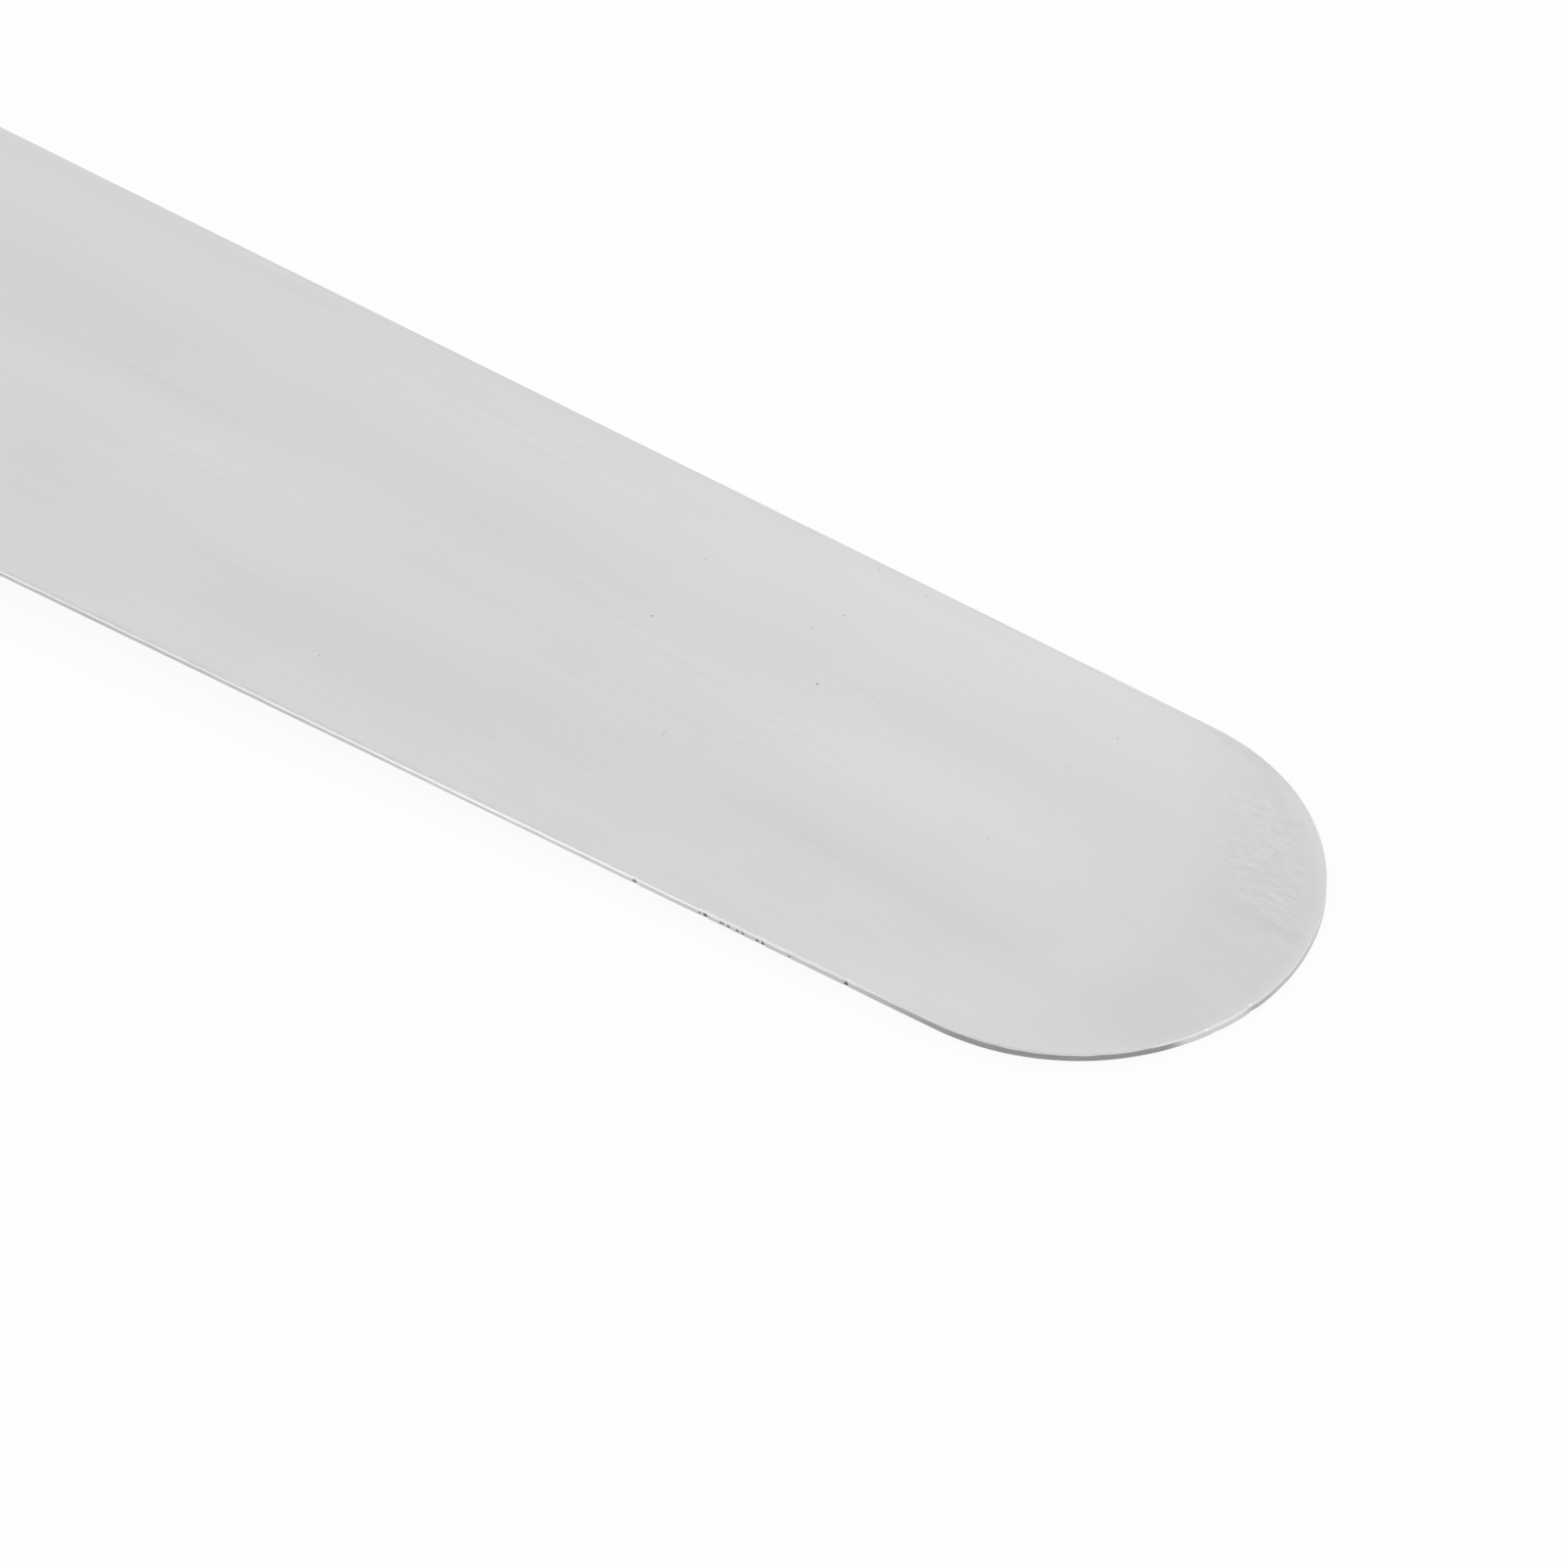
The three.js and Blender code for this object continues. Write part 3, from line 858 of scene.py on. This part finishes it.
def hardwood(name, pith):
    """Oiled hardwood with growth rings, fibres and open pores."""
    shader = Shader(name)
    lean = tuple(math.radians(angle) for angle in BOARD_LEAN)
    board = shader.measured(shader.place, (1.0, 1.0, 1.0), pith, lean)
    _, across, up = shader.parts(board)
    from_pith = shader.length(shader.joined(0.0, across, up))
    swaying = shader.total(from_pith, (shader.grain(board, RING_SWAYS), RING_SWAY))
    season = shader.math("FRACT", shader.math("DIVIDE", swaying, RING_WIDTH))
    late = shader.product(shader.remap(season, *LATE_GROWS), shader.remap(season, *LATE_STOPS))
    fibres = shader.grain(board, FIBRES)
    patches = shader.grain(board, WOOD_PATCHES)
    fewer = shader.remap(late, 1.0, 0.0, PORE_LATE_SHARE, 1.0)
    open_pores = shader.product(shader.remap(shader.grain(board, PORES), *PORE_RANGE), fewer)
    darkness = shader.swing(WOOD_DARKNESS, (fibres, FIBRE_DARKNESS), (patches, PATCH_DARKNESS))
    darkness = shader.total(darkness, (late, LATE_DARKNESS))
    body = shader.blend(darkness, WOOD_PALE, WOOD_DARK)
    roughness = shader.swing(WOOD_ROUGHNESS, (fibres, FIBRE_ROUGHNESS), (open_pores, PORE_ROUGHNESS))
    height = shader.total(fibres, (open_pores, PORE_HEIGHT))
    shader.fill(
        shader.surface,
        {
            "Base Color": shader.blend(open_pores, body, PORE_COLOUR),
            "Roughness": roughness,
            "Specular IOR Level": WOOD_SPECULAR,
            "Normal": shader.bump(height, WOOD_RELIEF),
        },
    )
    return shader.material


# Brass.
SANDING = Grain(4 * MM, 0.07 * MM, 2)
TARNISH = Grain(2.2 * MM, 1.6 * MM, 3)
BRASS_BRIGHT = (0.80, 0.56, 0.24, 1)
BRASS_DULL = (0.55, 0.35, 0.13, 1)
BRASS_DULLNESS = 0.35
TARNISH_DULLNESS = 1.1
SANDING_DULLNESS = 0.5
BRASS_ROUGHNESS = 0.30
SANDING_ROUGHNESS = 0.18
TARNISH_ROUGHNESS = 0.12
BRASS_RELIEF = 0.004 * MM


def satin_brass():
    """Brass that was sanded flush along the handle and has dulled a little."""
    shader = Shader("satin_brass")
    lines = shader.grain(shader.place, SANDING)
    tarnish = shader.grain(shader.place, TARNISH)
    dull = shader.swing(BRASS_DULLNESS, (tarnish, TARNISH_DULLNESS), (lines, SANDING_DULLNESS))
    roughness = shader.swing(BRASS_ROUGHNESS, (lines, SANDING_ROUGHNESS), (tarnish, TARNISH_ROUGHNESS))
    shader.fill(
        shader.surface,
        {
            "Base Color": shader.blend(dull, BRASS_BRIGHT, BRASS_DULL),
            "Metallic": 1.0,
            "Roughness": roughness,
            "Normal": shader.bump(lines, BRASS_RELIEF),
        },
    )
    return shader.material


def blade_stations():
    """Reaches for the blade's cross-sections: close together where the outline turns or its rim shows."""
    butt = -HANDLE_LENGTH + BUTT_ROUND_LENGTH * (1 - np.sin(quarter_turn(TANG_BUTT_POINTS)))
    tang = np.arange(BUTT_ROUND_LENGTH - HANDLE_LENGTH, 0, COARSE_STEP)
    shoulder = np.linspace(0, HEEL_REACH, SHOULDER_POINTS)
    heel = np.arange(HEEL_REACH, HEEL_REACH + COARSE_HEEL, COARSE_STEP)
    straight = np.arange(HEEL_REACH + COARSE_HEEL, TANGENT_REACH, FINE_STEP)
    span = np.linspace(-NICK_SPAN, NICK_SPAN, NICK_POINTS)
    nicks = [BLADE_LENGTH - back + radius * span for back, radius in NICKS]
    turn = np.linspace(EDGE_TAPER, math.pi / 2, NOSE_POINTS)[:-1]
    nose = NOSE_REACH + NOSE_RADIUS * np.sin(turn)
    return merged(butt, tang, shoulder, heel, straight, *nicks, nose)


def edge_wear(reach, across):
    """How far the rim stands back from its true outline: slight waves all round, and nicks."""
    waves = np.random.RandomState(EDGE_WAVE_SEED)
    share = 1 / len(EDGE_WAVE_LENGTHS)
    depth = np.zeros_like(reach)
    for length in EDGE_WAVE_LENGTHS:
        phase = waves.uniform(0, 2 * math.pi, 2)
        turn = 2 * math.pi * reach / length + phase[0] + phase[1] * np.sign(across)
        depth += share + share * np.sin(turn)
    depth *= EDGE_WAVE_DEPTH
    for back, radius in (*NICKS, *NOSE_NICKS):
        nick = BLADE_LENGTH - back
        away = np.hypot(reach - nick, across + blade_half_width(np.array(nick)))
        depth += NICK_DEPTH_SHARE * radius * np.exp(-((away / radius) ** 2))
    return np.where(reach > HEEL_REACH, depth, 0)


def roll_kept(reach, across):
    """The share of the full roll that the rim has: all of it on the tang, less at the nose and far edge."""
    nose = eased(reach, NOSE_REACH - NOSE_ROLL_EASE, NOSE_REACH)
    far = eased(across, 0, NOSE_RADIUS) * eased(reach, 0, HEEL_REACH)
    return mix(mix(1, NOSE_ROLL_SHARE, nose), FAR_ROLL_SHARE, far)


def rolled_edge(roll, depth, side):
    """(inset, side of the sheet, height lost) of each loop over a rolled edge, from its face to the rim."""
    turns = quarter_turn(ROLL_POINTS)
    loops = [(roll * (1 - math.sin(turn)), side, depth * (1 - math.cos(turn))) for turn in turns]
    return [(roll + ROLL_MARGIN, side, 0), *loops]


def edge_profile():
    """The loops round the rim, from the upper face to the lower."""
    upper = rolled_edge(UPPER_ROLL, UPPER_ROUND, 1)
    lower = rolled_edge(LOWER_ROLL, LOWER_ROUND, -1)
    return [*upper, *reversed(lower)]


def blade_rim():
    """The worn outline, forward along the near edge and back along the far one, and its ways outwards."""
    stations = blade_stations()
    half = blade_half_width(stations)
    near = np.column_stack((stations, -half))
    far = np.column_stack((stations[::-1], half[::-1]))
    rim = np.concatenate((near, far))
    along = np.roll(rim, -1, axis=0) - np.roll(rim, 1, axis=0)
    along /= np.linalg.norm(along, axis=1)[:, None]
    outward = np.column_stack((along[:, 1], -along[:, 0]))
    return rim - outward * edge_wear(rim[:, 0], rim[:, 1])[:, None], outward


def rim_points(rim, outward):
    """The points of all the loops round the rim."""
    kept = roll_kept(rim[:, 0], rim[:, 1])
    points = []
    for inset, side, lost in edge_profile():
        loop = rim - outward * (inset * kept)[:, None]
        height = side * (blade_half_thickness(loop[:, 0], loop[:, 1]) - lost * kept)
        points.extend(zip(loop[:, 0], loop[:, 1], height))
    return points


def face_rows(points, start, size, side):
    """Adds a face's inner points, and gives the rows of its points across the sheet."""
    shares = np.linspace(0, 1, FACE_COLUMNS + 1)[1:-1]
    rows = []
    for station in range(size // 2):
        near, far = start + station, start + size - 1 - station
        x = mix(points[near][0], points[far][0], shares)
        y = mix(points[near][1], points[far][1], shares)
        z = side * blade_half_thickness(x, y)
        inner = range(len(points), len(points) + len(shares))
        points.extend(zip(x, y, z))
        rows.append([near, *inner, far])
    return rows


def blade(face, edge):
    """The sheet: two faces of crossed lines of points, joined by loops round the rim."""
    rim, outward = blade_rim()
    size = len(rim)
    points = rim_points(rim, outward)
    loops = len(points) // size
    faces = ring_quads(loops, size)
    rim_faces = len(faces)

    nose_end, butt_end = size // 2 - 1, size - 1
    ends = {nose_end: [], butt_end: []}
    for start, side in ((0, 1), ((loops - 1) * size, -1)):
        rows = face_rows(points, start, size, side)
        for before, after in zip(rows, rows[1:]):
            for column in range(FACE_COLUMNS):
                faces.append((before[column], before[column + 1], after[column + 1], after[column]))
        ends[nose_end].append(rows[-1])
        ends[butt_end].append(rows[0][::-1])

    # The two short facets at the ends of the sheet take up the faces' inner points.
    for end, (upper_row, lower_row) in ends.items():
        following = (end + 1) % size
        last = (loops - 2) * size
        faces[end] = (*upper_row, size + following, size + end)
        faces[last + end] = (last + end, last + following, *reversed(lower_row))

    shifted = [(HANDLE_FRONT + x, y, MIDDLE_Z + z) for x, y, z in points]
    materials = [1] * rim_faces + [0] * (len(faces) - rim_faces)
    piece = mesh_piece("spatula_blade", shifted, faces, [face, edge], materials)
    holes = [(place, SLEEVE_RADIUS + HOLE_CLEARANCE) for place in rivet_places()]
    holes.append((HANG_HOLE_PLACE, HANG_HOLE_RADIUS))
    cut(piece, [through(place, radius) for place, radius in holes])
    shade(piece, BLADE_SHARP)
    return piece


def through(place, radius):
    """A cutter that runs past both faces of the sheet."""
    return on_side(turned("cutter", place, [(radius, -SHEET), (radius, SHEET)], None), 1)


def rivet_places():
    boxes = [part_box(f"rivet_stud_{name}") for name in RIVET_NAMES]
    return [HANDLE_FRONT - sum(corner.x for corner in box) / 2 for box in boxes]


def scale_stations():
    """Places for a scale's sections: close together where its ends are rounded."""
    turns = quarter_turn(SCALE_END_POINTS)
    front = FRONT_ROUND_LENGTH * (1 - np.cos(turns))
    corner = FRONT_CORNER * (1 - np.cos(turns[::3]))
    middle = np.arange(FRONT_ROUND_LENGTH, HANDLE_LENGTH - BUTT_ROUND_LENGTH, SCALE_STEP)
    butt = HANDLE_LENGTH - BUTT_ROUND_LENGTH * (1 - np.sin(turns))
    rim = HANDLE_LENGTH - BUTT_EDGE_LENGTH * (1 - np.sin(turns[::2]))
    return merged(front, corner, middle, [BELLY_PLACE], butt, rim)


def scale_ring(place):
    """A section of a scale: flat below, with eased lower corners, and crowned above."""
    corner = rounded_end(place, FRONT_CORNER, FRONT_CORNER_SHARE)
    half, height = handle_half_width(place) * corner, scale_height(place)
    start = math.asin((SEAM_ROUND / height) ** (SECTION_POWER / 2))
    turn = np.linspace(start, math.pi - start, CROWN_POINTS)
    y = half * np.sign(np.cos(turn)) * np.abs(np.cos(turn)) ** (2 / SECTION_POWER)
    z = height * np.sin(turn) ** (2 / SECTION_POWER)
    arc = quarter_turn(SEAM_POINTS)[:-1]
    ease_y = y[0] - SEAM_ROUND * (1 - np.sin(arc))
    ease_z = SEAM_ROUND * (1 - np.cos(arc))
    y = np.concatenate((ease_y, y, -ease_y[::-1]))
    z = np.concatenate((ease_z, z, ease_z[::-1]))
    return np.column_stack((np.full_like(y, HANDLE_FRONT - place), y, SCALE_BASE + z))


def rivet_cutter(place, top, wood):
    """The hole of a rivet, wider for its head."""
    seat = head_seat(place) - SEAT_CLEARANCE
    wide, narrow = HEAD_RADIUS + HOLE_CLEARANCE, SLEEVE_RADIUS + HOLE_CLEARANCE
    profile = [(wide, top), (wide, seat), (narrow, seat), (narrow, 0)]
    return turned("cutter", place, profile, wood)


def hang_hole_cutter(top, wood):
    """The hang hole, with a rounded mouth that follows the crown."""
    lip = []
    for turn in np.radians(np.linspace(HOLE_LIP_TURN, 0, LIP_POINTS)):
        radius = HANG_HOLE_RADIUS + HOLE_LIP * (1 - math.cos(turn))
        lip.append((radius, below_crown(HOLE_LIP * (1 - math.sin(turn)))))
    profile = [(lip[0][0], top), *lip, (HANG_HOLE_RADIUS, 0)]
    return turned("cutter", HANG_HOLE_PLACE, profile, wood)


def scale(name, side, wood):
    """A handle scale, drilled for its rivets and for the hang hole."""
    rings = [scale_ring(place) for place in scale_stations()]
    piece = mesh_piece(name, np.concatenate(rings), ring_faces(len(rings), len(rings[0])), [wood])
    top = BELLY_HALF + CUT_MARGIN
    cutters = [rivet_cutter(place, top, wood) for place in rivet_places()]
    cut(piece, [*cutters, hang_hole_cutter(top, wood)])
    shade(piece, HANDLE_SHARP)
    return on_side(piece, side)


def head_seat(place):
    """Height of the face that a rivet's head sits on."""
    return SCALE_BASE + float(scale_height(np.array(place))) - HEAD_DEPTH


def rivet_head():
    """The head's rings from its middle to its rim, sanded to the crown of the scale."""
    rings = [(HEAD_RADIUS * share, below_crown(-HEAD_PROUD)) for share in HEAD_RING_SHARES]
    for turn in quarter_turn(HEAD_RIM_POINTS):
        radius = HEAD_RADIUS - HEAD_RIM * (1 - math.sin(turn))
        rings.append((radius, below_crown(HEAD_RIM * (1 - math.cos(turn)) - HEAD_PROUD)))
    return rings


def rivet_half(name, place, shank, side, brass):
    """A head, sanded to its scale, and the shank that stands on it."""
    piece = turned(name, place, [*rivet_head(), (HEAD_RADIUS, head_seat(place)), *shank], brass)
    shade(piece, HANDLE_SHARP)
    return on_side(piece, side)


def rivet_stud(name, place, brass):
    """The solid half of a rivet, with its head on the upper scale."""
    seat = head_seat(place)
    end = END_ROOM - seat
    tip = PIN_RADIUS - PIN_CHAMFER
    pin = [(PIN_RADIUS, seat), (PIN_RADIUS, end + PIN_CHAMFER), (tip, end)]
    return rivet_half(name, place, pin, 1, brass)


def rivet_sleeve(name, place, brass):
    """The hollow half of a rivet, with its head on the lower scale."""
    seat = head_seat(place)
    end = END_ROOM - seat
    bore = PIN_RADIUS + PIN_CLEARANCE
    tube = [(SLEEVE_RADIUS, seat), (SLEEVE_RADIUS, end), (bore, end), (bore, seat)]
    return rivet_half(name, place, tube, -1, brass)


def hand_over(piece, node):
    """The piece stands for a CAD node: it rides on the root body, and the node is hidden."""
    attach(piece, "root")
    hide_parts(node)


def spatula():
    steel = steel_face(), steel_edge()
    brass = satin_brass()
    hand_over(blade(*steel), "blade")
    upper_wood = hardwood("upper_wood", UPPER_PITH)
    lower_wood = hardwood("lower_wood", LOWER_PITH)
    hand_over(scale("spatula_upper_scale", 1, upper_wood), "upper_scale")
    hand_over(scale("spatula_lower_scale", -1, lower_wood), "lower_scale")
    for name, place in zip(RIVET_NAMES, rivet_places()):
        stud = rivet_stud(f"spatula_stud_{name}", place, brass)
        sleeve = rivet_sleeve(f"spatula_sleeve_{name}", place, brass)
        hand_over(stud, f"rivet_stud_{name}")
        hand_over(sleeve, f"rivet_sleeve_{name}")


# Studio.
FLOOR_REACH = 8.0
FLOOR_GAP = 0.02 * MM
FLOOR_COLOUR = (0.95, 0.95, 0.95, 1)
WHITE = (1, 1, 1, 1)
SEEN_WHITE = 0.92  # share of plain white in the floor that the camera sees
MIRRORED_WHITE = 0.7  # the same, in the floor that metal mirrors
SKY_ALONG = 0.7  # level and upward parts of the way to the brightest sky
SKY_UP = 0.714
SKY_RANGE = (-0.3, 0.9)  # cosines of the angle to it, for the darkest level and the brightest
SKY_LEVELS = (0.5, 1.0)
ENERGY_PER_RADIANCE = 4  # for each square metre of an area lamp


class Softbox(NamedTuple):
    name: str
    direction: tuple
    distance: float
    size: float
    radiance: float


SOFTBOXES = (
    Softbox("left_softbox", (-0.39, -0.71, 0.59), 1.2, 1.1, 0.30),
    Softbox("right_softbox", (0.9, 0.1, 0.5), 1.2, 1.0, 0.28),
)


def floor_material():
    """Near white to the eye and in reflections, but plain enough to hold a soft shadow."""
    shader = Shader("floor_white")
    shader.tree.nodes.remove(shader.surface)
    path = shader.add("ShaderNodeLightPath", {}).outputs
    mirrored = shader.math("MAXIMUM", path["Is Glossy Ray"], path["Is Transmission Ray"])
    plain = shader.add("ShaderNodeBsdfDiffuse", {"Color": FLOOR_COLOUR}).outputs[0]
    white = shader.add("ShaderNodeEmission", {"Color": WHITE, "Strength": 1.0}).outputs[0]
    share = shader.total(0.0, (path["Is Camera Ray"], SEEN_WHITE), (mirrored, MIRRORED_WHITE))
    lit = shader.add("ShaderNodeMixShader", {0: share, 1: plain, 2: white}).outputs[0]
    clear = shader.add("ShaderNodeBsdfTransparent", {}).outputs[0]
    behind = shader.add("ShaderNodeNewGeometry", {}).outputs["Backfacing"]
    one_sided = shader.add("ShaderNodeMixShader", {0: behind, 1: lit, 2: clear}).outputs[0]
    output = shader.tree.nodes["Material Output"]
    shader.tree.links.new(one_sided, output.inputs["Surface"])
    return shader.material


def floor():
    """A floor that the tool rests on as it would on a table: on its handle and on the tip of its nose."""
    tip = Vector((NOSE_END, 0, MIDDLE_Z - SHEET / 2 + NOSE_GRIND_DEPTH))
    slope = 0.0
    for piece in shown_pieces():
        for vertex in piece.data.vertices:
            if vertex.co.x < HANDLE_FRONT:
                slope = max(slope, (tip.z - vertex.co.z) / (tip.x - vertex.co.x))
    corners = [(FLOOR_REACH * x, FLOOR_REACH * y) for x, y in ((-1, -1), (1, -1), (1, 1), (-1, 1))]
    points = [(x, y, tip.z + slope * (x - tip.x) - FLOOR_GAP) for x, y in corners]
    mesh = bpy.data.meshes.new("floor")
    mesh.from_pydata(points, [], [(0, 1, 2, 3)])
    mesh.materials.append(floor_material())
    made = bpy.data.objects.new("floor", mesh)
    bpy.context.scene.collection.objects.link(made)
    made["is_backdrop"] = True


def world():
    """Soft light from all round, brightest high up on the far side of the photograph's camera."""
    made = bpy.data.worlds.new("studio")
    bpy.context.scene.world = made
    made.use_nodes = True
    nodes, links = made.node_tree.nodes, made.node_tree.links
    direction = nodes.new("ShaderNodeTexCoord").outputs["Generated"]
    toward = nodes.new("ShaderNodeVectorMath")
    toward.operation = "DOT_PRODUCT"
    level_x, level_y = -math.sin(CAMERA_AZIMUTH), math.cos(CAMERA_AZIMUTH)
    toward.inputs[1].default_value = (SKY_ALONG * level_x, SKY_ALONG * level_y, SKY_UP)
    links.new(direction, toward.inputs[0])
    level = nodes.new("ShaderNodeMapRange")
    level.interpolation_type = "SMOOTHSTEP"
    for key, value in zip(("From Min", "From Max", "To Min", "To Max"), (*SKY_RANGE, *SKY_LEVELS)):
        level.inputs[key].default_value = value
    links.new(toward.outputs["Value"], level.inputs["Value"])
    links.new(level.outputs[0], nodes["Background"].inputs["Color"])


def softbox(box):
    """A square lamp that faces the blade."""
    lamp = bpy.data.lights.new(box.name, "AREA")
    lamp.shape = "SQUARE"
    lamp.size = box.size
    lamp.energy = ENERGY_PER_RADIANCE * box.radiance * box.size**2
    made = bpy.data.objects.new(box.name, lamp)
    bpy.context.scene.collection.objects.link(made)
    aim = Vector((NOSE_END / 2, 0, MIDDLE_Z))
    made.location = aim + Vector(box.direction).normalized() * box.distance
    made.rotation_mode = "QUATERNION"
    made.rotation_quaternion = (aim - made.location).to_track_quat("-Z", "Y")


def camera():
    """The photograph's camera: it sees the centre of the nose's circle at its own pixel."""
    a, e, r = CAMERA_AZIMUTH, CAMERA_ELEVATION, CAMERA_ROLL
    level_right = Vector((math.cos(a), math.sin(a), 0))
    level_up = Vector((-math.sin(a) * math.sin(e), math.cos(a) * math.sin(e), math.cos(e)))
    forward = Vector((-math.sin(a) * math.cos(e), math.cos(a) * math.cos(e), -math.sin(e)))
    right = math.cos(r) * level_right - math.sin(r) * level_up
    up = math.sin(r) * level_right + math.cos(r) * level_up
    nose = Vector((HANDLE_FRONT + NOSE_REACH, 0, blade_high.z))
    sideways = (NOSE_PIXEL[0] - PICTURE_SIDE / 2) / PIXELS_PER_MM * MM
    upwards = (PICTURE_SIDE / 2 - NOSE_PIXEL[1]) / PIXELS_PER_MM * MM
    place = nose - sideways * right - upwards * up - CAMERA_DISTANCE * forward
    data = bpy.data.cameras.new("photo_camera")
    data.sensor_width = SENSOR
    data.lens = SENSOR * PIXELS_PER_MM * CAMERA_DISTANCE / MM / PICTURE_SIDE
    data.clip_start = CAMERA_NEAREST
    data.clip_end = CAMERA_FARTHEST
    made = bpy.data.objects.new("photo_camera", data)
    bpy.context.scene.collection.objects.link(made)
    basis = Matrix((right, up, -forward)).transposed().to_4x4()
    made.matrix_world = Matrix.Translation(place) @ basis
    bpy.context.scene.camera = made


def studio():
    floor()
    world()
    for box in SOFTBOXES:
        softbox(box)
    camera()
    bpy.context.scene.view_settings.view_transform = "Standard"


spatula()
studio()
